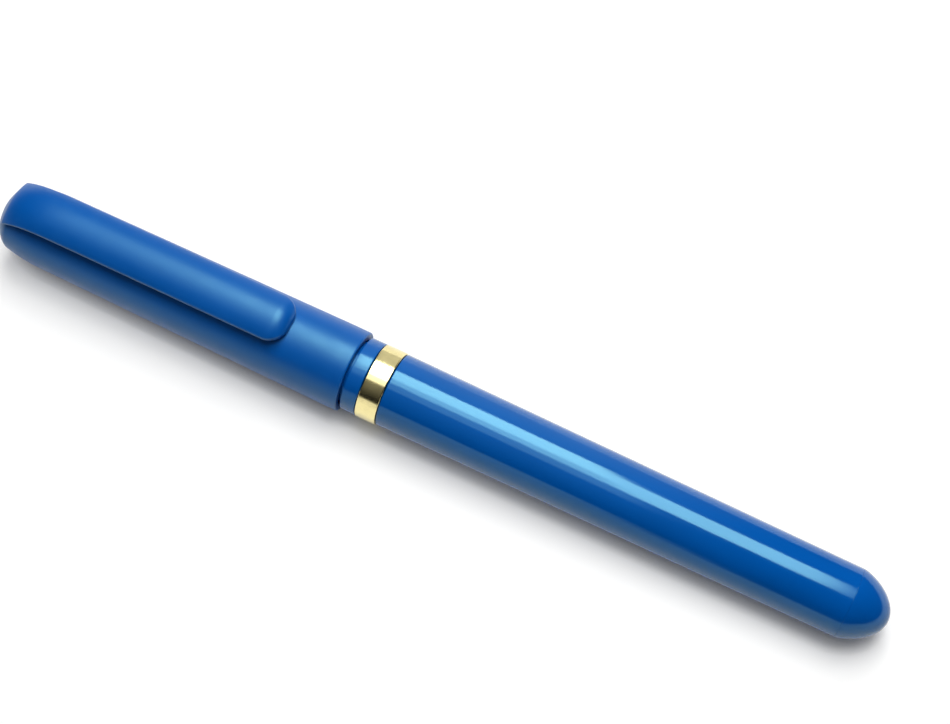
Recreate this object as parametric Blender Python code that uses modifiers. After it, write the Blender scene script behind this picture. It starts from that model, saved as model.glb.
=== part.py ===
"""Capped felt-tip pen: fibre nib and ink reservoir in a section and barrel, under a cap with a clip.

The pen lies along X on z = 0 with its clip on top, cap towards -X and tail towards +X, and its middle
at x = 0.
Sizes are millimetres. A station is a distance along the pen from the flat end of the cap's crown.
"""

import math

import bmesh
import bpy
from mathutils import Matrix

MM = 0.001
SEGMENTS = 40
CAP_SEGMENTS = 24

# Fits: a pressed or sliding fit, and the hairline between two faces that meet
FIT_GAP = 0.3
SEAM = 0.1

# Visible lengths, from the crown to the tail
CAP_LENGTH = 57.2
RIM_GAP = 0.4
COLLAR_LENGTH = 2.3
RING_LENGTH = 3.4
BARREL_LENGTH = 70.8
DOME_HEIGHT = 5.9

# Cap shell: a bullet-shaped crown, a drafted skirt, and a straight land at the mouth where it seats
CAP_RIM_DIAMETER = 12.3
CAP_SHOULDER_DIAMETER = 11.5
CROWN_END_DIAMETER = 9.4
CROWN_CURVE_LENGTH = 8.0
CROWN_EDGE_RADIUS = 0.9
RIM_LAND_LENGTH = 4.0
RIM_EDGE_RADIUS = 0.3
CAP_WALL = 1.05
CROWN_WALL = 3.0
CROWN_CORE_DIAMETER = 6.0

# Clip, moulded on the crown: it leaves the crown flush and rises over a hump to its free length
CLIP_LENGTH = 47.2
CLIP_START = 0.06
CLIP_WIDTH = 7.4
CLIP_CREST_RADIUS = 5.4
CLIP_EDGE_LIFT = 0.2
CLIP_SIDE = 0.55
CLIP_ROOT_SIDE = 0.3
CLIP_HUMP_LENGTH = 12.0
CLIP_HUMP_POWER = 3.4
CLIP_ROOT_CORNER = 1.8
CLIP_ROOT_LENGTH = 8.5
CLIP_ROOT_BLEND = 1.5
CLIP_ROOT_SINK = 0.5
CLIP_GAP = 0.6
CLIP_CHANNEL_WIDTH = 4.5
CLIP_LIP_LENGTH = 2.0
CLIP_EDGE_RADIUS = 0.2
CLIP_BROW_RADIUS = 0.3
CLIP_CORNER_RADIUS = 2.9
CLIP_TIP_ROUND = 1.8

# Inner cap, a sealing cup pressed into the cap
INNER_CAP_DEPTH = 9.0
INNER_CAP_LENGTH = 24.0
INNER_CAP_BORE_WALL = 1.3
INNER_CAP_WALL = 0.8

# Front section, from its nose to the collar and the spigot in the barrel
NOSE_STATION = 26.0
NOSE_WALL = 0.5
NOSE_EDGE = 0.3
GRIP_STEP = 0.6
SEAT_LENGTH = 10.5
SEAT_BEAD_STATION = 3.2
SEAT_BEAD_HEIGHT = 0.15
SEAT_BEAD_LENGTH = 1.6
SECTION_WALL = 0.75
COLLAR_PROUD = 0.05
SPIGOT_LENGTH = 9.0
EDGE_BEVEL = 0.15

# Trim ring and barrel
RING_PROUD = 0.1
BARREL_FRONT_DIAMETER = 11.1
BARREL_TAIL_DIAMETER = 10.4
BARREL_WALL = 1.0
RIB_COUNT = 4
RIB_WIDTH = 0.8
RIB_END_CLEARANCE = 2.0

# Tail plug: a fullness of 1 makes the dome a paraboloid, and 2 an ellipsoid
DOME_FULLNESS = 1.45
PLUG_SPIGOT_LENGTH = 6.0
PLUG_WALL = 0.9

# Ink parts
NIB_DIAMETER = 2.2
NIB_EXPOSED = 5.5
NIB_POINT_DIAMETER = 0.9
NIB_POINT_LENGTH = 2.2
NIB_IN_RESERVOIR = 6.0
FILM_WALL = 0.2

# Stations worked out from the lengths
COLLAR_FRONT = CAP_LENGTH + RIM_GAP
COLLAR_BACK = COLLAR_FRONT + COLLAR_LENGTH
BARREL_FRONT = COLLAR_BACK + RING_LENGTH
BARREL_BACK = BARREL_FRONT + BARREL_LENGTH
PEN_LENGTH = BARREL_BACK + DOME_HEIGHT
INNER_CAP_MOUTH = INNER_CAP_DEPTH + INNER_CAP_LENGTH
RIM_LAND_FRONT = CAP_LENGTH - RIM_LAND_LENGTH
SEAT_FRONT = CAP_LENGTH - SEAT_LENGTH
SPIGOT_BACK = BARREL_FRONT + SPIGOT_LENGTH
PLUG_FRONT = BARREL_BACK - PLUG_SPIGOT_LENGTH

# Radii worked out from the outside in
RIM_RADIUS = CAP_RIM_DIAMETER / 2
SHOULDER_RADIUS = CAP_SHOULDER_DIAMETER / 2
CROWN_END_RADIUS = CROWN_END_DIAMETER / 2
NIB_RADIUS = NIB_DIAMETER / 2
NIB_BORE_RADIUS = NIB_RADIUS + FIT_GAP
SEAT_RADIUS = RIM_RADIUS - CAP_WALL - FIT_GAP
SPIGOT_RADIUS = BARREL_FRONT_DIAMETER / 2 - BARREL_WALL - FIT_GAP
PLUG_RADIUS = BARREL_TAIL_DIAMETER / 2 - BARREL_WALL - FIT_GAP
SPIGOT_BORE_RADIUS = SPIGOT_RADIUS - SECTION_WALL
FILM_RADIUS = min(SPIGOT_BORE_RADIUS, PLUG_RADIUS) - FIT_GAP
RESERVOIR_RADIUS = FILM_RADIUS - FILM_WALL - FIT_GAP

AXIS_HEIGHT = RIM_RADIUS * math.cos(math.pi / CAP_SEGMENTS)
PEN_BLUE = (0.003, 0.075, 0.36)


def clear_scene():
    for thing in list(bpy.data.objects):
        bpy.data.objects.remove(thing, do_unlink=True)


def make_collection(name):
    collection = bpy.data.collections.new(name)
    bpy.context.scene.collection.children.link(collection)
    return collection


def principled(name, colour, roughness, metallic=0.0):
    material = bpy.data.materials.new(name)
    material.use_nodes = True
    shader = material.node_tree.nodes["Principled BSDF"]
    shader.inputs["Base Color"].default_value = (*colour, 1.0)
    shader.inputs["Roughness"].default_value = roughness
    shader.inputs["Metallic"].default_value = metallic
    return material


def place_on_axis(name, mesh, collection, parent):
    """Lay a mesh along the pen: its Z becomes the pen's length and its -X the pen's top."""
    thing = bpy.data.objects.new(name, mesh)
    collection.objects.link(thing)
    thing.parent = parent
    thing.location = (-PEN_LENGTH / 2 * MM, 0.0, 0.0)
    thing.rotation_euler = (0.0, math.pi / 2, 0.0)
    return thing


def turned(name, outline, material, collection, parent, hollow=False, segments=SEGMENTS):
    """Revolve an outline of (station, radius) points, listed from the crown's end towards the tail.

    A hollow outline goes back along the bore and closes on itself, and a solid one ends on the axis.
    """
    half_facet = math.pi / segments
    points = []
    for station, radius in reversed(outline):
        across = radius * MM
        points.append((across * math.cos(half_facet), across * math.sin(half_facet), station * MM))
    edges = [(i, i + 1) for i in range(len(points) - 1)]
    if hollow:
        edges.append((len(points) - 1, 0))
    mesh = bpy.data.meshes.new(name)
    mesh.from_pydata(points, edges, [])
    thing = place_on_axis(name, mesh, collection, parent)
    mesh.materials.append(material)
    screw = thing.modifiers.new("turn", "SCREW")
    screw.axis = "Z"
    screw.steps = segments
    screw.render_steps = segments
    screw.use_merge_vertices = True
    screw.merge_threshold = 0.000001
    screw.use_smooth_shade = True
    return thing


def unite(thing, tool):
    tool.hide_render = True
    tool.display_type = "WIRE"
    union = thing.modifiers.new("unite " + tool.name, "BOOLEAN")
    union.operation = "UNION"
    union.solver = "EXACT"
    union.object = tool


def arc(centre, radius, start_deg, end_deg, steps):
    """Points on a circle, as (first, second) pairs, with the angle measured from the first axis."""
    points = []
    for i in range(steps + 1):
        angle = math.radians(start_deg + (end_deg - start_deg) * i / steps)
        points.append((centre[0] + radius * math.cos(angle), centre[1] + radius * math.sin(angle)))
    return points


def smooth_step(value):
    held = min(max(value, 0.0), 1.0)
    return held * held * (3 - 2 * held)


def cap_radius(station):
    """Outer radius of the cap: the crown's parabola, the skirt's draft and the straight land."""
    if station < CROWN_CURVE_LENGTH:
        left = 1 - station / CROWN_CURVE_LENGTH
        return SHOULDER_RADIUS - (SHOULDER_RADIUS - CROWN_END_RADIUS) * left ** 2
    along = (station - CROWN_CURVE_LENGTH) / (RIM_LAND_FRONT - CROWN_CURVE_LENGTH)
    return SHOULDER_RADIUS + (RIM_RADIUS - SHOULDER_RADIUS) * min(along, 1.0)


def barrel_radius(station):
    along = (station - BARREL_FRONT) / BARREL_LENGTH
    return (BARREL_FRONT_DIAMETER + (BARREL_TAIL_DIAMETER - BARREL_FRONT_DIAMETER) * along) / 2


def inner_cap_bore_radius():
    return cap_radius(INNER_CAP_DEPTH) - INNER_CAP_BORE_WALL


def cap_outline():
    crown_edge_radius = cap_radius(CROWN_EDGE_RADIUS)
    crown_centre = (CROWN_EDGE_RADIUS, crown_edge_radius - CROWN_EDGE_RADIUS)
    crown_edge = arc(crown_centre, CROWN_EDGE_RADIUS, 180, 90, 4)
    crown_steps = 6
    crown_run = CROWN_CURVE_LENGTH - CROWN_EDGE_RADIUS
    crown_curve = []
    for i in range(1, crown_steps + 1):
        station = CROWN_EDGE_RADIUS + crown_run * i / crown_steps
        crown_curve.append((station, cap_radius(station)))
    rim_centre = (CAP_LENGTH - RIM_EDGE_RADIUS, RIM_RADIUS - RIM_EDGE_RADIUS)
    rim_edge = [(RIM_LAND_FRONT, RIM_RADIUS)] + arc(rim_centre, RIM_EDGE_RADIUS, 90, 0, 2)
    bore_step = INNER_CAP_MOUTH + FIT_GAP
    bore_end = INNER_CAP_DEPTH - FIT_GAP
    bore = [
        (CAP_LENGTH, RIM_RADIUS - CAP_WALL),
        (RIM_LAND_FRONT, RIM_RADIUS - CAP_WALL),
        (bore_step, cap_radius(bore_step) - CAP_WALL),
        (bore_step, inner_cap_bore_radius()),
        (bore_end, inner_cap_bore_radius()),
        (bore_end, CROWN_CORE_DIAMETER / 2),
        (CROWN_WALL, CROWN_CORE_DIAMETER / 2),
        (CROWN_WALL, 0.0),
    ]
    return [(0.0, 0.0)] + crown_edge + crown_curve + rim_edge + bore


def clip_stations():
    """Stations where the clip's section is drawn: close together at the crown, the hump and the tip."""
    tip_start = CLIP_LENGTH - CLIP_CORNER_RADIUS
    crown_steps = 4
    stations = []
    for i in range(crown_steps):
        angle = math.pi / 2 * i / crown_steps
        stations.append(CLIP_START + (CROWN_EDGE_RADIUS - CLIP_START) * (1 - math.cos(angle)))
    hump_steps = 10
    for i in range(hump_steps + 1):
        stations.append(CROWN_EDGE_RADIUS + (CLIP_HUMP_LENGTH - CROWN_EDGE_RADIUS) * i / hump_steps)
    span_steps = 4
    for i in range(1, span_steps + 1):
        stations.append(CLIP_HUMP_LENGTH + (tip_start - CLIP_HUMP_LENGTH) * i / span_steps)
    tip_steps = 8
    tip_end_deg = 86
    for i in range(1, tip_steps + 1):
        angle = math.radians(tip_end_deg) * i / tip_steps
        stations.append(tip_start + CLIP_CORNER_RADIUS * math.sin(angle))
    return stations


def round_off(past, radius):
    """How far a rounded edge has fallen away, at a distance past the point where its arc begins."""
    held = min(max(past, 0.0), radius)
    return radius - math.sqrt(radius ** 2 - held ** 2)


def clip_lower_edge(station):
    """Height of the clip's side edges over the axis: on the crown's surface, then clear of the skirt."""
    flush = math.sqrt(CROWN_END_RADIUS ** 2 - (CLIP_WIDTH / 2) ** 2)
    free = cap_radius(max(station, CLIP_HUMP_LENGTH)) + CLIP_EDGE_LIFT
    hump_left = max(0.0, 1 - station / CLIP_HUMP_LENGTH)
    return free - (free - flush) * hump_left ** CLIP_HUMP_POWER


def crest_fall(across):
    """How far the clip's rounded top has fallen at a distance from its middle line."""
    return round_off(across, CLIP_CREST_RADIUS)


def clip_section(station):
    """One closed section of the clip as (across, height) points.

    The top is rounded across, and the underside is a channel round the cap's skirt.
    Near the crown the channel sinks into the cap's wall, which is the clip's root, and at the tip
    it closes in a lip that nearly meets the skirt.
    """
    tip_start = CLIP_LENGTH - CLIP_CORNER_RADIUS
    body = cap_radius(station)
    low = clip_lower_edge(station)
    hump_left = max(0.0, 1 - station / CLIP_HUMP_LENGTH)
    side = CLIP_SIDE + (CLIP_ROOT_SIDE - CLIP_SIDE) * hump_left
    top = low + side + crest_fall(CLIP_WIDTH / 2)
    top -= round_off(CROWN_EDGE_RADIUS - station, CROWN_EDGE_RADIUS)
    top -= round_off(station - (CLIP_LENGTH - CLIP_TIP_ROUND), CLIP_TIP_ROUND)
    half_width = CLIP_WIDTH / 2 - round_off(CLIP_ROOT_CORNER - station, CLIP_ROOT_CORNER)
    half_width -= round_off(station - tip_start, CLIP_CORNER_RADIUS)
    side_now = top - crest_fall(half_width) - low
    edge = min(CLIP_EDGE_RADIUS, side_now / 3)
    brow = min(CLIP_BROW_RADIUS, side_now / 3)

    root = 1 - smooth_step((station - CLIP_ROOT_LENGTH) / CLIP_ROOT_BLEND)
    lip = smooth_step((station - tip_start + CLIP_LIP_LENGTH) / CLIP_LIP_LENGTH)
    free_radius = body + CLIP_GAP
    root_radius = min(body, top) - CLIP_ROOT_SINK
    channel_radius = free_radius + (root_radius - free_radius) * root
    channel_half = min(CLIP_CHANNEL_WIDTH / 2, half_width - 2 * edge)

    channel_steps = 4
    right = []
    for i in range(channel_steps + 1):
        across = channel_half * i / channel_steps
        height = math.sqrt(channel_radius ** 2 - across ** 2)
        right.append((across, height + (low - height) * lip))
    right.append((channel_half + edge / 2, low))
    right.append((half_width - edge, low))
    right.append((half_width, low + edge))
    brow_steps = 3
    for across, drop in arc((half_width - brow, -brow), brow, 0, 90, brow_steps):
        right.append((across, top - crest_fall(across) + drop))
    crest_steps = 5
    for i in range(1, crest_steps + 1):
        across = (half_width - brow) * (1 - i / crest_steps)
        right.append((across, top - crest_fall(across)))
    left = [(-across, height) for across, height in reversed(right[1:-1])]
    return right + left


def clip_tool(collection, parent):
    """The clip as a loft through its sections."""
    clip = bmesh.new()
    rings = []
    for station in clip_stations():
        ring = []
        for across, height in clip_section(station):
            ring.append(clip.verts.new((-height * MM, across * MM, station * MM)))
        rings.append(ring)
    count = len(rings[0])
    for near, far in zip(rings, rings[1:]):
        for i in range(count):
            j = (i + 1) % count
            clip.faces.new((near[i], near[j], far[j], far[i]))
    clip.faces.new(rings[0])
    clip.faces.new(list(reversed(rings[-1])))
    bmesh.ops.recalc_face_normals(clip, faces=clip.faces)
    mesh = bpy.data.meshes.new("clip_form")
    clip.to_mesh(mesh)
    clip.free()
    return place_on_axis("clip_form", mesh, collection, parent)


def make_cap(parts, tools, cap_axis):
    satin_blue = principled("satin_blue", PEN_BLUE, 0.38)
    cap = turned("cap", cap_outline(), satin_blue, parts, cap_axis, segments=CAP_SEGMENTS)
    unite(cap, clip_tool(tools, cap_axis))


def make_inner_cap(parts, cap_axis):
    outer = inner_cap_bore_radius() - FIT_GAP
    inner = outer - INNER_CAP_WALL
    floor = INNER_CAP_DEPTH + INNER_CAP_WALL
    outline = [
        (INNER_CAP_DEPTH, 0.0),
        (INNER_CAP_DEPTH, outer - EDGE_BEVEL),
        (INNER_CAP_DEPTH + EDGE_BEVEL, outer),
        (INNER_CAP_MOUTH - EDGE_BEVEL, outer),
        (INNER_CAP_MOUTH, outer - EDGE_BEVEL),
        (INNER_CAP_MOUTH, inner + EDGE_BEVEL),
        (INNER_CAP_MOUTH - EDGE_BEVEL, inner),
        (floor, inner),
        (floor, 0.0),
    ]
    natural_white = principled("natural_white_plastic", (0.62, 0.64, 0.62), 0.45)
    turned("inner_cap", outline, natural_white, parts, cap_axis)


def make_front_section(parts, pen_axis):
    nose_radius = NIB_BORE_RADIUS + NOSE_WALL
    plug_radius = inner_cap_bore_radius() - FIT_GAP - INNER_CAP_WALL - FIT_GAP
    grip_radius = SEAT_RADIUS - GRIP_STEP
    collar_radius = BARREL_FRONT_DIAMETER / 2 + COLLAR_PROUD
    bead = CAP_LENGTH - SEAT_BEAD_STATION
    half_bead = SEAT_BEAD_LENGTH / 2
    core_radius = SEAT_RADIUS - GRIP_STEP - SECTION_WALL
    outline = [
        (NOSE_STATION, NIB_BORE_RADIUS),
        (NOSE_STATION, nose_radius - NOSE_EDGE),
        (NOSE_STATION + NOSE_EDGE, nose_radius),
        (INNER_CAP_MOUTH - GRIP_STEP, plug_radius),
        (INNER_CAP_MOUTH + FIT_GAP, plug_radius),
        (INNER_CAP_MOUTH + FIT_GAP + GRIP_STEP, plug_radius + FIT_GAP),
        (SEAT_FRONT - GRIP_STEP, grip_radius),
        (SEAT_FRONT, SEAT_RADIUS),
        (bead - half_bead, SEAT_RADIUS),
        (bead, SEAT_RADIUS + SEAT_BEAD_HEIGHT),
        (bead + half_bead, SEAT_RADIUS),
        (COLLAR_FRONT, SEAT_RADIUS),
        (COLLAR_FRONT, collar_radius - EDGE_BEVEL),
        (COLLAR_FRONT + EDGE_BEVEL, collar_radius),
        (COLLAR_BACK - EDGE_BEVEL, collar_radius),
        (COLLAR_BACK, collar_radius - EDGE_BEVEL),
        (COLLAR_BACK, SPIGOT_RADIUS),
        (SPIGOT_BACK - EDGE_BEVEL, SPIGOT_RADIUS),
        (SPIGOT_BACK, SPIGOT_RADIUS - EDGE_BEVEL),
        (SPIGOT_BACK, SPIGOT_BORE_RADIUS),
        (COLLAR_BACK, SPIGOT_BORE_RADIUS),
        (COLLAR_BACK, core_radius),
        (SEAT_FRONT, core_radius),
        (SEAT_FRONT - core_radius, NIB_BORE_RADIUS),
    ]
    gloss_blue = principled("section_blue", PEN_BLUE, 0.22)
    turned("front_section", outline, gloss_blue, parts, pen_axis, hollow=True)


def make_trim_ring(parts, pen_axis):
    front = COLLAR_BACK + SEAM
    back = BARREL_FRONT - SEAM
    outer = BARREL_FRONT_DIAMETER / 2 + RING_PROUD
    bore = SPIGOT_RADIUS + FIT_GAP
    outline = [
        (front, outer - EDGE_BEVEL),
        (front + EDGE_BEVEL, outer),
        (back - EDGE_BEVEL, outer),
        (back, outer - EDGE_BEVEL),
        (back, bore),
        (front, bore),
    ]
    gold = principled("gold_metal", (0.78, 0.56, 0.22), 0.16, 1.0)
    turned("trim_ring", outline, gold, parts, pen_axis, hollow=True)


def rib_tool(collection, parent):
    """Ribs inside the barrel that hold the reservoir in the middle and leave air channels beside it."""
    start = SPIGOT_BACK + RIB_END_CLEARANCE
    end = PLUG_FRONT - RIB_END_CLEARANCE
    inner = FILM_RADIUS + FIT_GAP
    outer = barrel_radius(end) - BARREL_WALL / 2
    ribs = bmesh.new()
    for i in range(RIB_COUNT):
        made = bmesh.ops.create_cube(ribs, size=1.0)
        size = ((outer - inner) * MM, RIB_WIDTH * MM, (end - start) * MM)
        bmesh.ops.scale(ribs, verts=made["verts"], vec=size)
        middle = ((outer + inner) / 2 * MM, 0.0, (start + end) / 2 * MM)
        bmesh.ops.translate(ribs, verts=made["verts"], vec=middle)
        turn = math.pi / 4 + 2 * math.pi * i / RIB_COUNT
        bmesh.ops.rotate(ribs, verts=made["verts"], cent=(0, 0, 0), matrix=Matrix.Rotation(turn, 3, "Z"))
    mesh = bpy.data.meshes.new("rib_form")
    ribs.to_mesh(mesh)
    ribs.free()
    return place_on_axis("rib_form", mesh, collection, parent)


def make_barrel(parts, tools, pen_axis):
    front = barrel_radius(BARREL_FRONT)
    back = barrel_radius(BARREL_BACK)
    outline = [
        (BARREL_FRONT, front - EDGE_BEVEL),
        (BARREL_FRONT + EDGE_BEVEL, front),
        (BARREL_BACK - EDGE_BEVEL, back),
        (BARREL_BACK, back - EDGE_BEVEL),
        (BARREL_BACK, back - BARREL_WALL),
        (PLUG_FRONT - FIT_GAP, back - BARREL_WALL),
        (SPIGOT_BACK + FIT_GAP, front - BARREL_WALL),
        (BARREL_FRONT, front - BARREL_WALL),
    ]
    gloss_blue = principled("gloss_blue", PEN_BLUE, 0.12)
    barrel = turned("barrel", outline, gloss_blue, parts, pen_axis, hollow=True)
    unite(barrel, rib_tool(tools, pen_axis))


def make_tail_plug(parts, pen_axis):
    """A hollow plug whose dome bends away soon after it leaves the barrel."""
    base = BARREL_BACK + SEAM
    height = DOME_HEIGHT - SEAM
    base_radius = BARREL_TAIL_DIAMETER / 2
    dome_steps = 9
    dome = []
    for i in range(dome_steps + 1):
        angle = math.pi / 2 * i / dome_steps
        rise = height * math.sin(angle) ** (2 / DOME_FULLNESS)
        dome.append((base + rise, base_radius * math.cos(angle)))
    core = PLUG_RADIUS - PLUG_WALL
    core_end = base
    outline = [
        (core_end, 0.0),
        (core_end, core),
        (PLUG_FRONT, core),
        (PLUG_FRONT, PLUG_RADIUS - EDGE_BEVEL),
        (PLUG_FRONT + EDGE_BEVEL, PLUG_RADIUS),
        (base, PLUG_RADIUS),
    ]
    gloss_blue = principled("plug_blue", PEN_BLUE, 0.14)
    turned("tail_plug", outline + dome, gloss_blue, parts, pen_axis)


def make_nib(parts, pen_axis):
    tip = NOSE_STATION - NIB_EXPOSED
    point_radius = NIB_POINT_DIAMETER / 2
    back = COLLAR_BACK + NIB_IN_RESERVOIR
    point = arc((tip + point_radius, 0.0), point_radius, 180, 115, 4)
    outline = point + [
        (tip + NIB_POINT_LENGTH, NIB_RADIUS),
        (back - EDGE_BEVEL, NIB_RADIUS),
        (back, NIB_RADIUS - EDGE_BEVEL),
        (back, 0.0),
    ]
    fibre = principled("inked_fibre", (0.010, 0.035, 0.16), 0.7)
    turned("nib", outline, fibre, parts, pen_axis)


def make_reservoir(parts, pen_axis):
    front = COLLAR_BACK + FIT_GAP
    back = PLUG_FRONT - FIT_GAP
    hole_end = COLLAR_BACK + NIB_IN_RESERVOIR + FIT_GAP
    rod = [
        (hole_end, 0.0),
        (hole_end, NIB_BORE_RADIUS),
        (front, NIB_BORE_RADIUS),
        (front, RESERVOIR_RADIUS),
        (back, RESERVOIR_RADIUS),
        (back, 0.0),
    ]
    wadding = principled("inked_wadding", (0.012, 0.045, 0.22), 0.9)
    turned("ink_reservoir", rod, wadding, parts, pen_axis)
    sleeve = [
        (front, FILM_RADIUS),
        (back, FILM_RADIUS),
        (back, FILM_RADIUS - FILM_WALL),
        (front, FILM_RADIUS - FILM_WALL),
    ]
    film = principled("wrap_film", (0.55, 0.60, 0.68), 0.3)
    turned("reservoir_film", sleeve, film, parts, pen_axis, hollow=True)


def make_axis(name, collection, parent=None):
    axis = bpy.data.objects.new(name, None)
    collection.objects.link(axis)
    axis.parent = parent
    return axis


def build_pen():
    clear_scene()
    parts = make_collection("felt_tip_pen")
    tools = make_collection("pen_tools")
    pen_axis = make_axis("pen_axis", parts)
    pen_axis.location = (0.0, 0.0, AXIS_HEIGHT * MM)
    cap_axis = make_axis("cap_axis", parts, pen_axis)
    make_cap(parts, tools, cap_axis)
    make_inner_cap(parts, cap_axis)
    make_front_section(parts, pen_axis)
    make_trim_ring(parts, pen_axis)
    make_barrel(parts, tools, pen_axis)
    make_tail_plug(parts, pen_axis)
    make_nib(parts, pen_axis)
    make_reservoir(parts, pen_axis)


build_pen()
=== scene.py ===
"""Looks of the capped felt-tip pen: fine meshes, finishes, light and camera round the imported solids.

The pen lies along X, cap towards -X and tail towards +X, with its clip on top.
Shape sizes are millimetres. A station is a distance along the pen from the flat end of the cap's crown,
and every piece has its origin there, on the pen's axis.
"""

import math

import bmesh
import bpy
from mathutils import Matrix, Vector


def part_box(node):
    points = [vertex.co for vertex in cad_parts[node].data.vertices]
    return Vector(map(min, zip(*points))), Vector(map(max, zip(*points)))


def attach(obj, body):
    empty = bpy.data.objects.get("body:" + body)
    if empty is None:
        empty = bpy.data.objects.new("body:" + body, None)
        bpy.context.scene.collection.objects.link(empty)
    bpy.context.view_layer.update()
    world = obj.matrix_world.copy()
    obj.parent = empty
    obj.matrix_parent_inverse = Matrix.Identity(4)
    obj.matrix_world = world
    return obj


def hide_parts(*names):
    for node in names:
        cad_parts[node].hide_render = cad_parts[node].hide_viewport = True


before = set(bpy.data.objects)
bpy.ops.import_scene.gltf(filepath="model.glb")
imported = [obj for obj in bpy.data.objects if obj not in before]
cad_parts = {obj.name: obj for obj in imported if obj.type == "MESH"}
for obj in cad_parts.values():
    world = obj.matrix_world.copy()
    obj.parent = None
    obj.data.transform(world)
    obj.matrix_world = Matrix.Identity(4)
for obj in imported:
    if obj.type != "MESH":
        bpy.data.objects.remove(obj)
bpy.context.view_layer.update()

MM = 0.001
SEGMENTS = 160
MERGE_DISTANCE = 0.0005
SMOOTH_ANGLE = math.radians(32)

# Gaps between pieces
SEAM = 0.1
FIT_GAP = 0.3
TAIL_SEAM = 0.01

# Places from the frame
CROWN_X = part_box("cap")[0].x
AXIS_Z = (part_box("barrel")[0].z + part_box("barrel")[1].z) / 2
ORIGIN = Vector((CROWN_X, 0.0, AXIS_Z))


def station_of(x):
    return (x - CROWN_X) / MM


CAP_LENGTH = station_of(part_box("cap")[1].x)
INNER_CAP_DEPTH = station_of(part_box("inner_cap")[0].x)
INNER_CAP_MOUTH = station_of(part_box("inner_cap")[1].x)
NOSE_STATION = station_of(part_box("front_section")[0].x)
SPIGOT_BACK = station_of(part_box("front_section")[1].x)
COLLAR_BACK = station_of(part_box("trim_ring")[0].x) - SEAM
BARREL_FRONT = station_of(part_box("barrel")[0].x)
BARREL_BACK = station_of(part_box("barrel")[1].x)
PLUG_FRONT = station_of(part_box("tail_plug")[0].x)
PEN_LENGTH = station_of(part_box("tail_plug")[1].x)
NIB_TIP = station_of(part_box("nib")[0].x)
NIB_BACK = station_of(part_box("nib")[1].x)

# Cap shell
RIM_RADIUS = 6.15
SHOULDER_RADIUS = 5.75
CROWN_END_RADIUS = 4.55
CROWN_CURVE_LENGTH = 8.0
CROWN_EDGE_LENGTH = 2.2
CROWN_EDGE_DEPTH = 2.6
CROWN_EDGE_POWER = 1.5
CROWN_CONE_START = 2.9
CROWN_CONE_SLOPE = 1.75
CROWN_CONE_REACH = 9.0
RIM_LAND_LENGTH = 4.0
RIM_EDGE_RADIUS = 0.3
CAP_WALL = 1.05
CROWN_WALL = 3.0
CROWN_CORE_RADIUS = 3.0

# Clip
CLIP_LENGTH = 47.2
CLIP_START = 0.3
CLIP_WIDTH = 7.4
CLIP_CREST_RADIUS = 5.4
CLIP_EDGE_LIFT = 0.2
CLIP_SIDE = 0.55
CLIP_ROOT_SIDE = 0.3
CLIP_HUMP_LENGTH = 12.0
CLIP_HUMP_POWER = 3.4
CLIP_ROOT_CORNER = 1.8
CLIP_ROOT_FALL = 1.45
CLIP_ROOT_LENGTH = 8.5
CLIP_ROOT_BLEND = 1.5
CLIP_ROOT_SINK = 0.5
CLIP_GAP = 0.6
CLIP_CHANNEL_WIDTH = 4.5
CLIP_LIP_LENGTH = 2.0
CLIP_EDGE_RADIUS = 0.2
CLIP_BROW_RADIUS = 0.3
CLIP_CORNER_RADIUS = 2.9
CLIP_TIP_LENGTH = 2.5
CLIP_TIP_FALL = 1.8

# Inner cap, front section, ring, barrel and plug
INNER_CAP_BORE_WALL = 1.3
INNER_CAP_WALL = 0.8
NOSE_WALL = 0.5
NOSE_EDGE = 0.3
GRIP_STEP = 0.6
SEAT_LENGTH = 10.5
SEAT_BEAD_STATION = 3.2
SEAT_BEAD_HEIGHT = 0.15
SEAT_BEAD_LENGTH = 1.6
SECTION_WALL = 0.75
COLLAR_LENGTH = 2.3
COLLAR_PROUD = 0.05
RING_PROUD = 0.1
BARREL_FRONT_RADIUS = 5.55
BARREL_TAIL_RADIUS = 5.2
BARREL_WALL = 1.0
RIB_COUNT = 4
RIB_WIDTH = 0.8
RIB_END_CLEARANCE = 2.0
PLUG_WALL = 0.9
DOME_FULLNESS = 1.45
BARREL_BACK_EDGE = 0.01
PLUG_EDGE = 0.06
EDGE_ROUND = 0.15

# Ink parts
NIB_RADIUS = 1.1
NIB_POINT_RADIUS = 0.45
NIB_POINT_LENGTH = 2.2
NIB_POINT_END_DEG = 115
NIB_BORE_RADIUS = NIB_RADIUS + FIT_GAP

# Places and fits worked out from the sizes above
RIM_LAND_FRONT = CAP_LENGTH - RIM_LAND_LENGTH
CLIP_TIP_START = CLIP_LENGTH - CLIP_CORNER_RADIUS
COLLAR_FRONT = COLLAR_BACK - COLLAR_LENGTH
SEAT_FRONT = CAP_LENGTH - SEAT_LENGTH
SEAT_RADIUS = RIM_RADIUS - CAP_WALL - FIT_GAP
SPIGOT_RADIUS = BARREL_FRONT_RADIUS - BARREL_WALL - FIT_GAP
SPIGOT_BORE_RADIUS = SPIGOT_RADIUS - SECTION_WALL
PLUG_RADIUS = BARREL_TAIL_RADIUS - BARREL_WALL - FIT_GAP
FILM_RADIUS = min(SPIGOT_BORE_RADIUS, PLUG_RADIUS) - FIT_GAP

# Colours, as linear light
PEN_BLUE = (0.0, 0.084, 0.375)
BLUE_REFLECTION = (0.42, 1.0, 1.0)
RING_GOLD = (0.86, 0.75, 0.37)
LINER_WHITE = (0.62, 0.64, 0.62)
FIBRE_BLUE = (0.010, 0.035, 0.16)
WADDING_BLUE = (0.012, 0.045, 0.22)
FILM_GREY = (0.55, 0.60, 0.68)
FLOOR_WHITE = (0.60, 0.60, 0.592)
ROOM_WHITE = (1.0, 1.0, 1.0)

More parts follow.
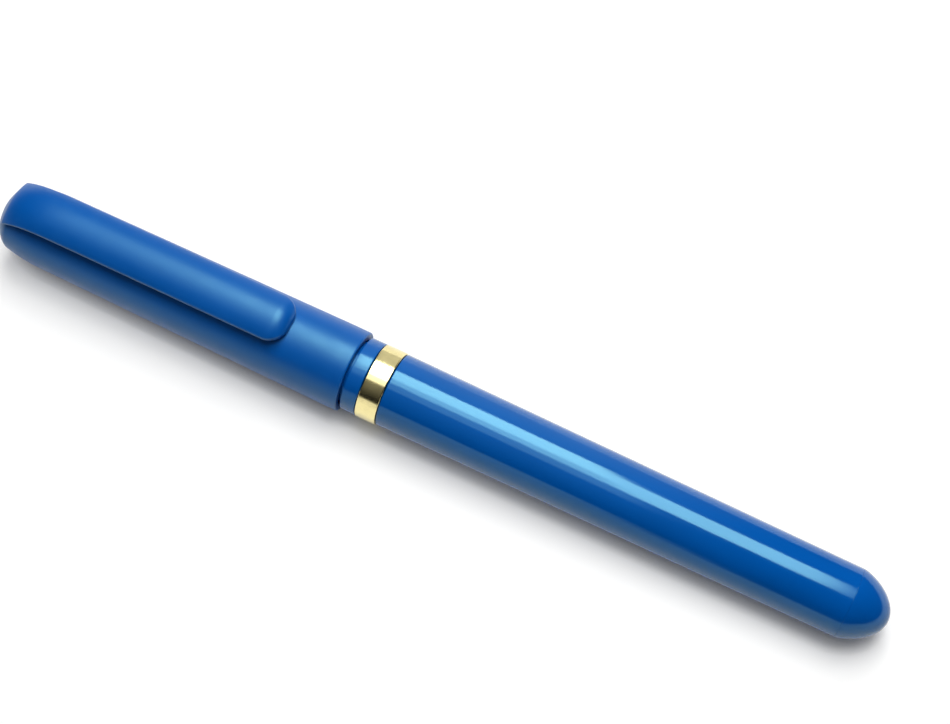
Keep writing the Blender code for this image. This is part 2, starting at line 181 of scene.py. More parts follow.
# Finishes
PLASTIC_INDEX = 1.57
SECTION_ROUGHNESS = 0.2
BARREL_ROUGHNESS = 0.12
PLUG_ROUGHNESS = 0.14
NIB_ROUGHNESS = 0.65
WADDING_ROUGHNESS = 0.9
FIBRE_SHEEN = 0.15
LINER_GLOW = 0.3
LINER_GLOW_DEPTH = 0.8
NOISE_MIDDLE = (0.3, 0.7)

# Camera: image in pixels, sensor in millimetres, angles in degrees and distances in metres
IMAGE_WIDTH = 950
IMAGE_HEIGHT = 724
FOCAL_PIXELS = 2019
SENSOR_WIDTH = 36.0
NEAR_LIMIT = 0.01
VIEW_AZIMUTH = 21.65
VIEW_ELEVATION = 67.52
VIEW_ROLL = 4.64
VIEW_DISTANCE = 0.2889
MIDDLE_PIXEL = (434.4, 409.35)

# Floor: its size and reaches in metres, and the reach of the shade painted under the pen in millimetres
FLOOR_SIZE = 4.0
FLOOR_LIFT = 0.42
FAR_LIFT = 0.95
FAR_REACH = (0.1, 0.6)
SHADE_LIFT = 0.10
SHADE_REACH = 3.2
SHADE_OPEN = (0.45, 0.97)
SHADE_SAMPLES = 4

# Lamps: reach along X in metres, reach across the pen in degrees, and radiance
LAMP_DISTANCE = 0.5
SOFT_PANELS = {
    "key_panel": ((-0.165, 0.0), (101, 129.5), 10.6),
    "middle_panel": ((-0.165, 0.0), (87, 101), 6.2),
    "front_panel": ((-0.21, 0.02), (69, 87), 1.4),
    "tail_panel": ((0.0, 0.142), (87, 122), 8.4),
}

# Room: greys from before the pen to behind it, the white card's top edge and the strip that stays lit
ROOM_STOPS = ((0.04, 0.012), (0.095, 0.08), (0.165, 0.14), (0.25, 0.20), (0.6, 0.25), (0.9, 0.70))
CARD_ANGLE = math.radians(9)
CARD_EDGE = (-0.01, 0.02)
STRIP_MIDDLE = -0.17
STRIP_REACH = (0.08, 0.24)
STRIP_FADE = (1.0, 0.06)


def arc(centre, radius, start_deg, end_deg, steps=8):
    """Points on a circle, with the angle measured from the station axis towards the radius."""
    points = []
    for i in range(steps + 1):
        angle = math.radians(start_deg + (end_deg - start_deg) * i / steps)
        points.append((centre[0] + radius * math.cos(angle), centre[1] + radius * math.sin(angle)))
    return points


def front_edge(station, radius, rounding=EDGE_ROUND):
    """A rounded outer edge on a face that looks towards the crown."""
    return arc((station + rounding, radius - rounding), rounding, 180, 90)


def back_edge(station, radius, rounding=EDGE_ROUND):
    """A rounded outer edge on a face that looks towards the tail."""
    return arc((station - rounding, radius - rounding), rounding, 90, 0)


def smooth_step(value):
    held = min(max(value, 0.0), 1.0)
    return held * held * (3 - 2 * held)


def round_off(past, length, fall=None):
    """How far a rounded edge has fallen away, at a distance past the point where its curve begins.

    The edge is a quarter circle, or a quarter ellipse where its fall is given as well as its length.
    """
    share = min(max(past / length, 0.0), 1.0)
    return (length if fall is None else fall) * (1 - math.sqrt(1 - share ** 2))


def cap_radius(station):
    """Outer radius of the cap: the crown's parabola, the skirt's draft and the straight land."""
    if station < CROWN_CURVE_LENGTH:
        left = 1 - station / CROWN_CURVE_LENGTH
        return SHOULDER_RADIUS - (SHOULDER_RADIUS - CROWN_END_RADIUS) * left ** 2
    along = (station - CROWN_CURVE_LENGTH) / (RIM_LAND_FRONT - CROWN_CURVE_LENGTH)
    return SHOULDER_RADIUS + (RIM_RADIUS - SHOULDER_RADIUS) * min(along, 1.0)


def barrel_radius(station):
    along = (station - BARREL_FRONT) / (BARREL_BACK - BARREL_FRONT)
    return BARREL_FRONT_RADIUS + (BARREL_TAIL_RADIUS - BARREL_FRONT_RADIUS) * along


def inner_cap_bore_radius():
    return cap_radius(INNER_CAP_DEPTH) - INNER_CAP_BORE_WALL


def piece_from(name, shape):
    """Turn a bmesh in millimetres, with stations along X, into an object on the pen's axis."""
    bmesh.ops.recalc_face_normals(shape, faces=shape.faces)
    mesh = bpy.data.meshes.new(name)
    shape.to_mesh(mesh)
    shape.free()
    mesh.transform(Matrix.Scale(MM, 4))
    piece = bpy.data.objects.new(name, mesh)
    bpy.context.scene.collection.objects.link(piece)
    piece.location = ORIGIN
    return piece


def turned(name, outline, hollow=False):
    """Revolve (station, radius) points about the axis. A solid outline starts and ends on the axis."""
    shape = bmesh.new()
    points = [shape.verts.new((station, 0.0, radius)) for station, radius in outline]
    lines = [shape.edges.new(pair) for pair in zip(points, points[1:])]
    if hollow:
        lines.append(shape.edges.new((points[-1], points[0])))
    bmesh.ops.spin(
        shape, geom=points + lines, cent=(0, 0, 0), axis=(1, 0, 0),
        angle=2 * math.pi, steps=SEGMENTS, use_merge=True,
    )
    bmesh.ops.remove_doubles(shape, verts=shape.verts, dist=MERGE_DISTANCE)
    return piece_from(name, shape)


def combine(piece, tool, operation):
    """Unite a piece with a tool, or keep what they share, and remove the tool."""
    boolean = piece.modifiers.new("combine", "BOOLEAN")
    boolean.operation = operation
    boolean.solver = "EXACT"
    boolean.object = tool
    depsgraph = bpy.context.evaluated_depsgraph_get()
    combined = bpy.data.meshes.new_from_object(piece.evaluated_get(depsgraph))
    piece.modifiers.clear()
    piece.data = combined
    bpy.data.objects.remove(tool)


def dress(piece, replaced, body, material):
    """Shade a piece, give it its finish and let it stand for its CAD node."""
    piece.data.materials.clear()
    piece.data.materials.append(material)
    piece.data.shade_smooth()
    piece.data.set_sharp_from_angle(angle=SMOOTH_ANGLE)
    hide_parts(replaced)
    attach(piece, body)


# Shapes of the cap


def crown_edge():
    """The crown's rounded slope, from its flat end out to the cap's side."""
    edge_radius = cap_radius(CROWN_EDGE_LENGTH)
    steps = 20
    points = []
    for i in range(steps + 1):
        share = i / steps
        rise = (1 - (1 - share) ** CROWN_EDGE_POWER) ** (1 / CROWN_EDGE_POWER)
        points.append((CROWN_EDGE_LENGTH * share, edge_radius - CROWN_EDGE_DEPTH * (1 - rise)))
    return points


def cap_side(start, end, steps):
    """Points on the cap's outside between two stations, without the first."""
    points = []
    for i in range(1, steps + 1):
        station = start + (end - start) * i / steps
        points.append((station, cap_radius(station)))
    return points


def cap_bore():
    """The cap's inside, from its mouth to the crown's core."""
    bore_radius = inner_cap_bore_radius()
    bore_step = INNER_CAP_MOUTH + FIT_GAP
    bore_end = INNER_CAP_DEPTH - FIT_GAP
    mouth = arc((CAP_LENGTH - EDGE_ROUND, RIM_RADIUS - CAP_WALL + EDGE_ROUND), EDGE_ROUND, 0, -90)
    return mouth + [
        (RIM_LAND_FRONT, RIM_RADIUS - CAP_WALL),
        (bore_step, cap_radius(bore_step) - CAP_WALL),
        (bore_step, bore_radius),
        (bore_end, bore_radius),
        (bore_end, CROWN_CORE_RADIUS),
        (CROWN_WALL, CROWN_CORE_RADIUS),
        (CROWN_WALL, 0.0),
    ]


def cap_outline():
    outline = [(0.0, 0.0)] + crown_edge()
    outline += cap_side(CROWN_EDGE_LENGTH, CROWN_CURVE_LENGTH, steps=36)
    outline += cap_side(CROWN_CURVE_LENGTH, RIM_LAND_FRONT, steps=12)
    outline += back_edge(CAP_LENGTH, RIM_RADIUS, RIM_EDGE_RADIUS)
    return outline + cap_bore()


def clip_stations():
    """Stations where the clip's section is drawn: close together at the crown, the hump and the tip."""
    stations = []
    crown_steps = 10
    for i in range(crown_steps):
        angle = math.pi / 2 * i / crown_steps
        stations.append(CLIP_START + (CROWN_EDGE_LENGTH - CLIP_START) * (1 - math.cos(angle)))
    hump_steps = 32
    for i in range(hump_steps + 1):
        stations.append(CROWN_EDGE_LENGTH + (CLIP_HUMP_LENGTH - CROWN_EDGE_LENGTH) * i / hump_steps)
    span_steps = 18
    for i in range(1, span_steps + 1):
        stations.append(CLIP_HUMP_LENGTH + (CLIP_TIP_START - CLIP_HUMP_LENGTH) * i / span_steps)
    tip_steps = 28
    tip_end_deg = 87
    for i in range(1, tip_steps + 1):
        angle = math.radians(tip_end_deg) * i / tip_steps
        stations.append(CLIP_TIP_START + CLIP_CORNER_RADIUS * math.sin(angle))
    return stations


def clip_lower_edge(station):
    """Height of the clip's side edges over the axis: on the crown's surface, then clear of the skirt."""
    flush = math.sqrt(CROWN_END_RADIUS ** 2 - (CLIP_WIDTH / 2) ** 2)
    free = cap_radius(max(station, CLIP_HUMP_LENGTH)) + CLIP_EDGE_LIFT
    hump_left = max(0.0, 1 - station / CLIP_HUMP_LENGTH)
    return free - (free - flush) * hump_left ** CLIP_HUMP_POWER


def crest_fall(across):
    """How far the clip's rounded top has fallen at a distance from its middle line."""
    return round_off(across, CLIP_CREST_RADIUS)


def clip_top(station):
    """Height of the clip's middle line over the axis, which falls away at the crown and at the tip."""
    hump_left = max(0.0, 1 - station / CLIP_HUMP_LENGTH)
    side = CLIP_SIDE + (CLIP_ROOT_SIDE - CLIP_SIDE) * hump_left
    top = clip_lower_edge(station) + side + crest_fall(CLIP_WIDTH / 2)
    top -= round_off(CROWN_EDGE_LENGTH - station, CROWN_EDGE_LENGTH, CLIP_ROOT_FALL)
    return top - round_off(station - (CLIP_LENGTH - CLIP_TIP_LENGTH), CLIP_TIP_LENGTH, CLIP_TIP_FALL)


def clip_half_width(station):
    half_width = CLIP_WIDTH / 2 - round_off(CLIP_ROOT_CORNER - station, CLIP_ROOT_CORNER)
    return half_width - round_off(station - CLIP_TIP_START, CLIP_CORNER_RADIUS)


def clip_channel_radius(station, top):
    """Radius of the channel under the clip, which sinks into the cap's wall at the root."""
    body = cap_radius(station)
    root = 1 - smooth_step((station - CLIP_ROOT_LENGTH) / CLIP_ROOT_BLEND)
    free_radius = body + CLIP_GAP
    root_radius = min(body, top) - CLIP_ROOT_SINK
    return free_radius + (root_radius - free_radius) * root


def clip_section(station):
    """One closed section of the clip as (across, height) points.

    The top is rounded across, and the underside is a channel round the cap's skirt.
    Near the crown the channel sinks into the cap's wall, and at the tip it closes in a lip.
    """
    low = clip_lower_edge(station)
    top = clip_top(station)
    half_width = clip_half_width(station)
    side = top - crest_fall(half_width) - low
    edge = min(CLIP_EDGE_RADIUS, side / 3)
    brow = min(CLIP_BROW_RADIUS, side / 3)
    lip = smooth_step((station - CLIP_TIP_START + CLIP_LIP_LENGTH) / CLIP_LIP_LENGTH)
    channel_radius = clip_channel_radius(station, top)
    channel_half = min(CLIP_CHANNEL_WIDTH / 2, half_width - 2 * edge)

    right = []
    channel_steps = 10
    for i in range(channel_steps + 1):
        across = channel_half * i / channel_steps
        height = math.sqrt(channel_radius ** 2 - across ** 2)
        right.append((across, height + (low - height) * lip))
    right.append((channel_half + edge / 2, low))
    right += arc((half_width - edge, low + edge), edge, -90, 0)
    for across, drop in arc((half_width - brow, -brow), brow, 0, 90):
        right.append((across, top - crest_fall(across) + drop))
    crest_steps = 14
    for i in range(1, crest_steps + 1):
        across = (half_width - brow) * (1 - i / crest_steps)
        right.append((across, top - crest_fall(across)))
    left = [(-across, height) for across, height in reversed(right[1:-1])]
    return right + left


def clip_form():
    """The clip as a loft through its sections."""
    shape = bmesh.new()
    rings = []
    for station in clip_stations():
        rings.append([shape.verts.new((station, across, up)) for across, up in clip_section(station)])
    count = len(rings[0])
    for near, far in zip(rings, rings[1:]):
        for i in range(count):
            j = (i + 1) % count
            shape.faces.new((near[i], near[j], far[j], far[i]))
    shape.faces.new(rings[0])
    shape.faces.new(list(reversed(rings[-1])))
    return piece_from("clip_form", shape)


def crown_cone():
    """A blunt cone that trims the clip's root where the crown slopes away to its flat end."""
    wide_at = (CROWN_CONE_REACH - CROWN_CONE_START) / CROWN_CONE_SLOPE
    outline = [(0.0, 0.0), (0.0, CROWN_CONE_START), (wide_at, CROWN_CONE_REACH)]
    outline += [(CAP_LENGTH, CROWN_CONE_REACH), (CAP_LENGTH, 0.0)]
    return turned("crown_cone", outline)


def make_cap():
    cap = turned("cap_shell", cap_outline())
    clip = clip_form()
    combine(clip, crown_cone(), "INTERSECT")
    combine(cap, clip, "UNION")
    dress(cap, "cap", "cap", satin_plastic("cap_satin", PEN_BLUE))


def make_inner_cap():
    outer = inner_cap_bore_radius() - FIT_GAP
    inner = outer - INNER_CAP_WALL
    floor = INNER_CAP_DEPTH + INNER_CAP_WALL
    mouth = arc((INNER_CAP_MOUTH - EDGE_ROUND, inner + EDGE_ROUND), EDGE_ROUND, 0, -90)
    corner = arc((floor + EDGE_ROUND, inner - EDGE_ROUND), EDGE_ROUND, 90, 180)
    outline = [(INNER_CAP_DEPTH, 0.0)]
    outline += front_edge(INNER_CAP_DEPTH, outer)
    outline += back_edge(INNER_CAP_MOUTH, outer)
    outline += mouth + corner
    outline.append((floor, 0.0))
    liner = turned("sealing_cup", outline)
    dress(liner, "inner_cap", "cap", milky_plastic("liner_milky", LINER_WHITE))


# Shapes of the pen


def seat_bead():
    """The low bead on the nib holder that the cap snaps over."""
    middle = CAP_LENGTH - SEAT_BEAD_STATION
    steps = 12
    points = []
    for i in range(steps + 1):
        share = i / steps
        station = middle + SEAT_BEAD_LENGTH * (share - 0.5)
        points.append((station, SEAT_RADIUS + SEAT_BEAD_HEIGHT * math.sin(math.pi * share)))
    return points


def make_front_section():
    nose_radius = NIB_BORE_RADIUS + NOSE_WALL
    plug_radius = inner_cap_bore_radius() - FIT_GAP - INNER_CAP_WALL - FIT_GAP
    grip_radius = SEAT_RADIUS - GRIP_STEP
    collar_radius = BARREL_FRONT_RADIUS + COLLAR_PROUD
    core_radius = grip_radius - SECTION_WALL
    outline = [(NOSE_STATION, NIB_BORE_RADIUS)]
    outline += front_edge(NOSE_STATION, nose_radius, NOSE_EDGE)
    outline += [
        (INNER_CAP_MOUTH - GRIP_STEP, plug_radius),
        (INNER_CAP_MOUTH + FIT_GAP, plug_radius),
        (INNER_CAP_MOUTH + FIT_GAP + GRIP_STEP, plug_radius + FIT_GAP),
        (SEAT_FRONT - GRIP_STEP, grip_radius),
        (SEAT_FRONT, SEAT_RADIUS),
    ]
    outline += seat_bead()
    outline.append((COLLAR_FRONT, SEAT_RADIUS))
    outline += front_edge(COLLAR_FRONT, collar_radius)
    outline += back_edge(COLLAR_BACK, collar_radius)
    outline.append((COLLAR_BACK, SPIGOT_RADIUS))
    outline += back_edge(SPIGOT_BACK, SPIGOT_RADIUS)
    outline += [
        (SPIGOT_BACK, SPIGOT_BORE_RADIUS),
        (COLLAR_BACK, SPIGOT_BORE_RADIUS),
        (COLLAR_BACK, core_radius),
        (SEAT_FRONT, core_radius),
        (SEAT_FRONT - core_radius, NIB_BORE_RADIUS),
    ]
    section = turned("nib_holder", outline, hollow=True)
    gloss = gloss_plastic("section_gloss", PEN_BLUE, SECTION_ROUGHNESS)
    dress(section, "front_section", "pen", gloss)


def make_trim_ring():
    front = COLLAR_BACK + SEAM
    back = BARREL_FRONT - SEAM
    outer = BARREL_FRONT_RADIUS + RING_PROUD
    bore = SPIGOT_RADIUS + FIT_GAP
    outline = front_edge(front, outer) + back_edge(back, outer) + [(back, bore), (front, bore)]
    ring = turned("gold_ring", outline, hollow=True)
    dress(ring, "trim_ring", "pen", polished_gold("ring_gold", RING_GOLD))


def rib_form():
    """Ribs inside the barrel that hold the reservoir in the middle."""
    start = SPIGOT_BACK + RIB_END_CLEARANCE
    end = PLUG_FRONT - RIB_END_CLEARANCE
    inner = FILM_RADIUS + FIT_GAP
    outer = barrel_radius(end) - BARREL_WALL / 2
    ribs = bmesh.new()
    for i in range(RIB_COUNT):
        made = bmesh.ops.create_cube(ribs, size=1.0)["verts"]
        bmesh.ops.scale(ribs, verts=made, vec=(end - start, RIB_WIDTH, outer - inner))
        bmesh.ops.translate(ribs, verts=made, vec=((start + end) / 2, 0.0, (outer + inner) / 2))
        turn = Matrix.Rotation(math.pi / 4 + 2 * math.pi * i / RIB_COUNT, 3, "X")
        bmesh.ops.rotate(ribs, verts=made, cent=(0, 0, 0), matrix=turn)
    return piece_from("rib_form", ribs)


def make_barrel():
    front = BARREL_FRONT_RADIUS
    back = BARREL_TAIL_RADIUS
    outline = front_edge(BARREL_FRONT, front) + back_edge(BARREL_BACK, back, BARREL_BACK_EDGE)
    outline += [
        (BARREL_BACK, back - BARREL_WALL),
        (PLUG_FRONT - FIT_GAP, back - BARREL_WALL),
        (SPIGOT_BACK + FIT_GAP, front - BARREL_WALL),
        (BARREL_FRONT, front - BARREL_WALL),
    ]
    barrel = turned("barrel_tube", outline, hollow=True)
    combine(barrel, rib_form(), "UNION")
    gloss = gloss_plastic("barrel_gloss", PEN_BLUE, BARREL_ROUGHNESS)
    dress(barrel, "barrel", "pen", gloss)


def make_tail_plug():
    """A hollow plug whose dome bends away soon after it leaves the barrel."""
    base = BARREL_BACK + TAIL_SEAM
    height = PEN_LENGTH - base
    dome_steps = 40
    dome = []
    for i in range(dome_steps + 1):
        angle = math.pi / 2 * i / dome_steps
        rise = height * math.sin(angle) ** (2 / DOME_FULLNESS)
        dome.append((base + rise, BARREL_TAIL_RADIUS * math.cos(angle)))
    core = PLUG_RADIUS - PLUG_WALL
    outline = [(base, 0.0), (base, core), (PLUG_FRONT, core)]
    outline += front_edge(PLUG_FRONT, PLUG_RADIUS)
    outline.append((base, PLUG_RADIUS))
    lip = front_edge(base, BARREL_TAIL_RADIUS, PLUG_EDGE)
    outline += lip
    plug = turned("dome_plug", outline + [spot for spot in dome if spot[0] > lip[-1][0]])
    gloss = gloss_plastic("plug_gloss", PEN_BLUE, PLUG_ROUGHNESS)
    dress(plug, "tail_plug", "pen", gloss)


def make_nib():
    point = arc((NIB_TIP + NIB_POINT_RADIUS, 0.0), NIB_POINT_RADIUS, 180, NIB_POINT_END_DEG, steps=12)
    outline = point + [(NIB_TIP + NIB_POINT_LENGTH, NIB_RADIUS)]
    outline += back_edge(NIB_BACK, NIB_RADIUS)
    outline.append((NIB_BACK, 0.0))
    nib = turned("fibre_nib", outline)
    dress(nib, "nib", "pen", bundled_fibre("nib_fibre", FIBRE_BLUE, NIB_ROUGHNESS))


def dress_hidden_nodes():
    """Finishes for the ink parts that keep their CAD shapes."""
    finishes = {
        "ink_reservoir": bundled_fibre("reservoir_wadding", WADDING_BLUE, WADDING_ROUGHNESS),
        "reservoir_film": thin_film("reservoir_wrap", FILM_GREY),
    }
    for name, material in finishes.items():
        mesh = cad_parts[name].data
        mesh.materials.clear()
        mesh.materials.append(material)


# Finishes


def node(tree, kind, inputs):
    """Add a node. An input is either another node's output, which is linked, or a value."""
    made = tree.nodes.new(kind)
    for name, value in inputs.items():
        if isinstance(value, bpy.types.NodeSocket):
            tree.links.new(value, made.inputs[name])
        else:
            made.inputs[name].default_value = value
    return made


def calculate(tree, operation, *values):
    """The outcome of a Math node."""
    made = node(tree, "ShaderNodeMath", dict(enumerate(values)))
    made.operation = operation
    return made.outputs[0]


def remap(tree, value, source, target):
    """A value carried from one range to another, and held at the ends."""
    inputs = {"Value": value, "From Min": source[0], "From Max": source[1]}
    inputs.update({"To Min": target[0], "To Max": target[1]})
    return node(tree, "ShaderNodeMapRange", inputs).outputs["Result"]


def shade(colour, factor):
    return (*(min(1.0, channel * factor) for channel in colour), 1.0)


def new_material(name):
    """A material with its Principled shader and the piece's own coordinates, in metres."""
    material = bpy.data.materials.new(name)
    material.use_nodes = True
    tree = material.node_tree
    place = node(tree, "ShaderNodeTexCoord", {}).outputs["Object"]
    return material, tree, tree.nodes["Principled BSDF"], place


def noise(tree, place, size, detail=2.0, stretch=1.0):
    """Noise with features of a size in millimetres, drawn out along the pen by a stretch."""
    scale = (1 / stretch, 1.0, 1.0)
    drawn = node(tree, "ShaderNodeMapping", {"Vector": place, "Scale": scale}).outputs["Vector"]
    inputs = {"Vector": drawn, "Scale": 1 / (size * MM), "Detail": detail}
    return node(tree, "ShaderNodeTexNoise", inputs).outputs["Fac"]


def tint(tree, factor, dark, light):
    """A colour that runs from dark to light over the middle of a noise."""
    ramp = node(tree, "ShaderNodeValToRGB", {"Fac": factor})
    for stop, position, colour in zip(ramp.color_ramp.elements, NOISE_MIDDLE, (dark, light)):
        stop.position = position
        stop.color = colour
    return ramp.outputs["Color"]


def spread(tree, factor, low, high):
    """A value that runs from low to high over the middle of a noise."""
    return remap(tree, factor, NOISE_MIDDLE, (low, high))


def relief(tree, height, depth, normal=None):
    """Bump of a depth in millimetres, on top of another where one is given."""
    inputs = {"Height": height, "Distance": depth * MM, "Strength": 1.0}
    if normal is not None:
        inputs["Normal"] = normal
    return node(tree, "ShaderNodeBump", inputs).outputs["Normal"]


def link(tree, shader, sources):
    for name, source in sources.items():
        tree.links.new(source, shader.inputs[name])


def satin_plastic(name, colour):
    """Moulded plastic with a fine eroded grain, faint mottling and handled patches."""
    material, tree, shader, place = new_material(name)
    grain = noise(tree, place, size=0.16, detail=3.0)
    flow = noise(tree, place, size=5.0, detail=3.0, stretch=4.0)
    handled = noise(tree, place, size=2.2, detail=4.0)
    shader.inputs["Specular Tint"].default_value = (*BLUE_REFLECTION, 1.0)
    shader.inputs["IOR"].default_value = PLASTIC_INDEX
    link(tree, shader, {
        "Base Color": tint(tree, flow, shade(colour, 0.94), shade(colour, 1.06)),
        "Roughness": spread(tree, handled, low=0.33, high=0.41),
        "Normal": relief(tree, grain, depth=0.006, normal=relief(tree, flow, depth=0.004)),
    })
    return material


def gloss_plastic(name, colour, roughness):
    """Polished moulded plastic with a slight waviness and hairline marks along the pen."""
    material, tree, shader, place = new_material(name)
    flow = noise(tree, place, size=4.0, detail=2.0, stretch=3.0)
    hairlines = noise(tree, place, size=0.12, detail=2.0, stretch=60.0)
    shader.inputs["Specular Tint"].default_value = (*BLUE_REFLECTION, 1.0)
    shader.inputs["IOR"].default_value = PLASTIC_INDEX
    link(tree, shader, {
        "Base Color": tint(tree, flow, shade(colour, 0.96), shade(colour, 1.04)),
        "Roughness": spread(tree, hairlines, low=roughness * 0.8, high=roughness * 1.2),
        "Normal": relief(tree, hairlines, depth=0.0008, normal=relief(tree, flow, depth=0.006)),
    })
    return material


def polished_gold(name, colour):
    """Bright gold-coloured metal with fine lines round the ring from its turning."""
    material, tree, shader, place = new_material(name)
    lines = noise(tree, place, size=4.0, detail=3.0, stretch=0.02)
    tarnish = noise(tree, place, size=1.5, detail=3.0)
    shader.inputs["Metallic"].default_value = 1.0
    link(tree, shader, {
        "Base Color": tint(tree, tarnish, shade(colour, 0.94), shade(colour, 1.05)),
        "Roughness": spread(tree, lines, low=0.12, high=0.2),
        "Normal": relief(tree, lines, depth=0.002),
    })
    return material


def milky_plastic(name, colour):
    """Natural uncoloured plastic that lets some light in."""
    material, tree, shader, place = new_material(name)
    cloud = noise(tree, place, size=3.0, detail=3.0)
    shader.inputs["Subsurface Weight"].default_value = LINER_GLOW
    shader.inputs["Subsurface Radius"].default_value = (1.0, 1.0, 1.0)
    shader.inputs["Subsurface Scale"].default_value = LINER_GLOW_DEPTH * MM
    link(tree, shader, {
        "Base Color": tint(tree, cloud, shade(colour, 0.96), shade(colour, 1.04)),
        "Roughness": spread(tree, cloud, low=0.36, high=0.5),
        "Normal": relief(tree, cloud, depth=0.004),
    })
    return material


def bundled_fibre(name, colour, roughness):
    """Fibres that run along the pen, dark with ink between them."""
    material, tree, shader, place = new_material(name)
    fibres = noise(tree, place, size=0.09, detail=3.0, stretch=30.0)
    soak = noise(tree, place, size=1.6, detail=2.0)
    shader.inputs["Sheen Weight"].default_value = FIBRE_SHEEN
    link(tree, shader, {
        "Base Color": tint(tree, fibres, shade(colour, 0.6), shade(colour, 1.5)),
        "Roughness": spread(tree, soak, low=roughness * 0.85, high=roughness * 1.1),
        "Normal": relief(tree, fibres, depth=0.02),
    })
    return material


def thin_film(name, colour):
    """Shrunk plastic film with lengthwise creases."""
    material, tree, shader, place = new_material(name)
    creases = noise(tree, place, size=0.6, detail=2.0, stretch=20.0)
    link(tree, shader, {
        "Base Color": tint(tree, creases, shade(colour, 0.92), shade(colour, 1.05)),
        "Roughness": spread(tree, creases, low=0.2, high=0.34),
        "Normal": relief(tree, creases, depth=0.01),
    })
    return material


# Stage


def background_rays(tree):
    """1 for rays that see the floor as a background: from the camera, or by way of gloss or glass."""
    path = tree.nodes.new("ShaderNodeLightPath").outputs
    seen = calculate(tree, "MAXIMUM", path["Is Camera Ray"], path["Is Glossy Ray"])
    return calculate(tree, "MAXIMUM", seen, path["Is Transmission Ray"])


def floor_lift_and_painted_shade(tree):
    """How much the floor is lifted.

    The lift is least where the pen hangs over the floor, where ambient occlusion takes it away and so
    paints shade on the floor beyond the lamps' own shadow, and most far out, where the lamps fade.
    """
    place = node(tree, "ShaderNodeTexCoord", {}).outputs["Object"]
    out = node(tree, "ShaderNodeVectorMath", {0: place})
    out.operation = "LENGTH"
    lift = remap(tree, out.outputs["Value"], FAR_REACH, (FLOOR_LIFT, FAR_LIFT))
    # Painted shade: ambient occlusion near the pen takes the floor's glow away, darkening the floor under
    # and beside the pen
    painted_shade_occlusion = node(tree, "ShaderNodeAmbientOcclusion", {"Distance": SHADE_REACH * MM})
    painted_shade_occlusion.samples = SHADE_SAMPLES
    painted_shade_share = remap(tree, painted_shade_occlusion.outputs["AO"], SHADE_OPEN, (SHADE_LIFT, 1.0))
    return calculate(tree, "MULTIPLY", lift, painted_shade_share)


def floor_material():
    """White table: a diffuse top that takes the shadow, lifted to white where it is seen.

    The lift fades close to the pen, which paints shade on the floor there on top of the lamps' own shadow,
    so the shadow stays dark where the two touch.
    """
    material = bpy.data.materials.new("floor_white")
    material.use_nodes = True
    tree = material.node_tree
    tree.nodes.remove(tree.nodes["Principled BSDF"])
    top = node(tree, "ShaderNodeBsdfDiffuse", {"Color": (*FLOOR_WHITE, 1.0)})
    lift = calculate(tree, "MULTIPLY", background_rays(tree), floor_lift_and_painted_shade(tree))
    glow = node(tree, "ShaderNodeEmission", {"Strength": lift})
    both = node(tree, "ShaderNodeAddShader", {0: top.outputs[0], 1: glow.outputs[0]})
    tree.links.new(both.outputs[0], tree.nodes["Material Output"].inputs["Surface"])
    return material


def make_floor():
    """A plane that touches the cap's rim and the tail, which is thinner, so it slopes a little."""
    rim_x = CROWN_X + (CAP_LENGTH - RIM_EDGE_RADIUS) * MM
    tail_x = CROWN_X + BARREL_BACK * MM
    drop = (RIM_RADIUS - BARREL_TAIL_RADIUS) * MM
    shape = bmesh.new()
    bmesh.ops.create_grid(shape, x_segments=1, y_segments=1, size=FLOOR_SIZE / 2)
    mesh = bpy.data.meshes.new("floor")
    shape.to_mesh(mesh)
    shape.free()
    floor = bpy.data.objects.new("floor", mesh)
    bpy.context.scene.collection.objects.link(floor)
    floor.location = (rim_x, 0.0, AXIS_Z - RIM_RADIUS * MM)
    floor.rotation_euler = (0.0, -math.atan2(drop, tail_x - rim_x), 0.0)
    mesh.materials.append(floor_material())


def soft_panel(name, along, over_deg, radiance):
    """A soft panel that faces the pen's axis.

    It reaches between two places along X and between two angles across the pen, from -Y up and over.
    """
    over = math.radians((over_deg[0] + over_deg[1]) / 2)
    outward = Vector((0.0, -math.cos(over), math.sin(over)))
    panel = bpy.data.lights.new(name, "AREA")
    panel.shape = "RECTANGLE"
    panel.size = along[1] - along[0]
    panel.size_y = 2 * LAMP_DISTANCE * math.tan(math.radians(over_deg[1] - over_deg[0]) / 2)
    panel.energy = radiance * math.pi * panel.size * panel.size_y
    holder = bpy.data.objects.new(name, panel)
    bpy.context.scene.collection.objects.link(holder)
    side = Vector((1.0, 0.0, 0.0))
    turn = Matrix((side, outward.cross(side), outward)).transposed().to_4x4()
    place = Vector(((along[0] + along[1]) / 2, 0.0, AXIS_Z)) + outward * LAMP_DISTANCE
    holder.matrix_world = Matrix.Translation(place) @ turn


def make_lamps():
    for name, (along, over_deg, radiance) in SOFT_PANELS.items():
        soft_panel(name, along, over_deg, radiance)


def room_greys(tree, across):
    """Greys from before the pen to behind it."""
    ramp = node(tree, "ShaderNodeValToRGB", {"Fac": remap(tree, across, (-1.0, 1.0), (0.0, 1.0))})
    stops = ramp.color_ramp.elements
    stops.remove(stops[1])
    stops[0].position = ROOM_STOPS[0][0]
    stops[0].color = shade(ROOM_WHITE, ROOM_STOPS[0][1])
    for position, grey in ROOM_STOPS[1:]:
        stops.new(position).color = shade(ROOM_WHITE, grey)
    return ramp.outputs["Color"]


def low_card(tree, direction):
    """1 on the low white card before the pen, and 0 above it."""
    upright = (0.0, math.sin(CARD_ANGLE), math.cos(CARD_ANGLE))
    over_card = node(tree, "ShaderNodeVectorMath", {0: direction, 1: upright})
    over_card.operation = "DOT_PRODUCT"
    return remap(tree, over_card.outputs["Value"], CARD_EDGE, (1.0, 0.0))


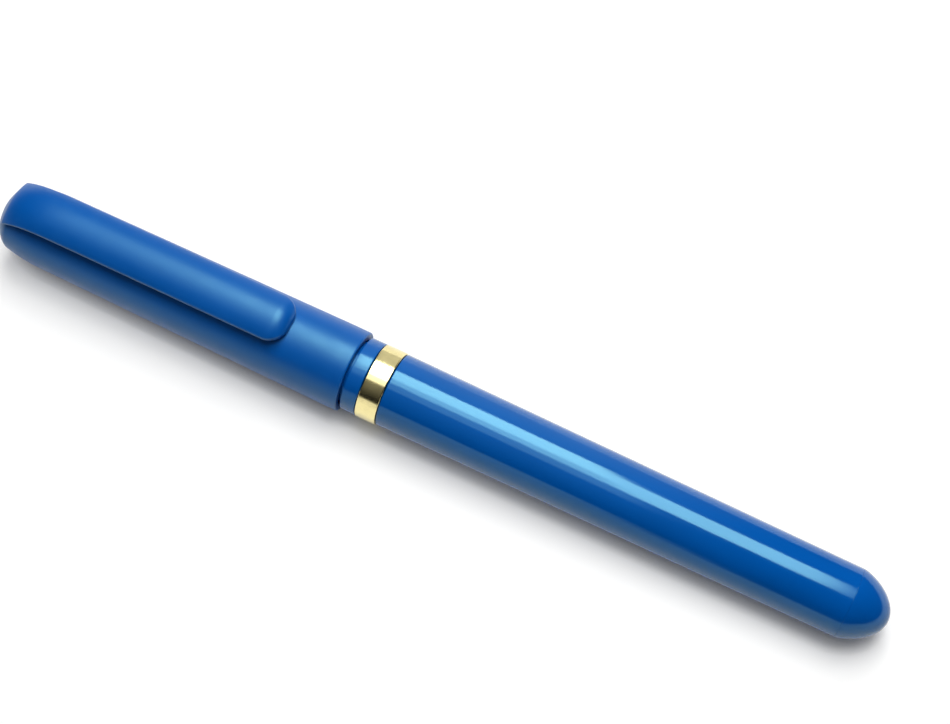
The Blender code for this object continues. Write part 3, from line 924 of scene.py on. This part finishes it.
def make_room():
    """Light all round: pale behind the pen, dim before it over a low white card, and dim past its ends."""
    world = bpy.data.worlds.new("studio")
    bpy.context.scene.world = world
    world.use_nodes = True
    tree = world.node_tree
    direction = node(tree, "ShaderNodeTexCoord", {}).outputs["Generated"]
    parts = node(tree, "ShaderNodeSeparateXYZ", {"Vector": direction}).outputs
    greys = room_greys(tree, parts["Y"])
    # The Mix node takes its colours at sockets 6 and 7, and gives the mixed one at output 2
    colour = node(tree, "ShaderNodeMix", {0: low_card(tree, direction), 6: greys, 7: (*ROOM_WHITE, 1.0)})
    colour.data_type = "RGBA"
    past_strip = calculate(tree, "ABSOLUTE", calculate(tree, "SUBTRACT", parts["X"], STRIP_MIDDLE))
    strength = remap(tree, past_strip, STRIP_REACH, STRIP_FADE)
    link(tree, tree.nodes["Background"], {"Color": colour.outputs[2], "Strength": strength})


def make_camera():
    """A camera at the photograph's angle, placed so that the pen's middle falls on its own pixel."""
    azimuth = math.radians(VIEW_AZIMUTH)
    elevation = math.radians(VIEW_ELEVATION)
    roll = math.radians(VIEW_ROLL)
    level = math.cos(elevation)
    back = Vector((math.sin(azimuth) * level, -math.cos(azimuth) * level, math.sin(elevation)))
    level_right = Vector((math.cos(azimuth), math.sin(azimuth), 0.0))
    right = level_right * math.cos(roll) + back.cross(level_right) * math.sin(roll)
    up = back.cross(right)
    per_pixel = VIEW_DISTANCE / FOCAL_PIXELS
    middle = Vector((CROWN_X + PEN_LENGTH / 2 * MM, 0.0, AXIS_Z))
    place = middle + back * VIEW_DISTANCE
    place -= right * (MIDDLE_PIXEL[0] - IMAGE_WIDTH / 2) * per_pixel
    place += up * (MIDDLE_PIXEL[1] - IMAGE_HEIGHT / 2) * per_pixel
    lens = bpy.data.cameras.new("view")
    lens.sensor_width = SENSOR_WIDTH
    lens.lens = SENSOR_WIDTH * FOCAL_PIXELS / IMAGE_WIDTH
    lens.clip_start = NEAR_LIMIT
    camera = bpy.data.objects.new("view", lens)
    bpy.context.scene.collection.objects.link(camera)
    turn = Matrix((right, up, back)).transposed().to_4x4()
    camera.matrix_world = Matrix.Translation(place) @ turn
    bpy.context.scene.camera = camera


make_cap()
make_inner_cap()
make_front_section()
make_trim_ring()
make_barrel()
make_tail_plug()
make_nib()
dress_hidden_nodes()
make_floor()
make_lamps()
make_room()
make_camera()
bpy.context.scene.view_settings.view_transform = "Standard"
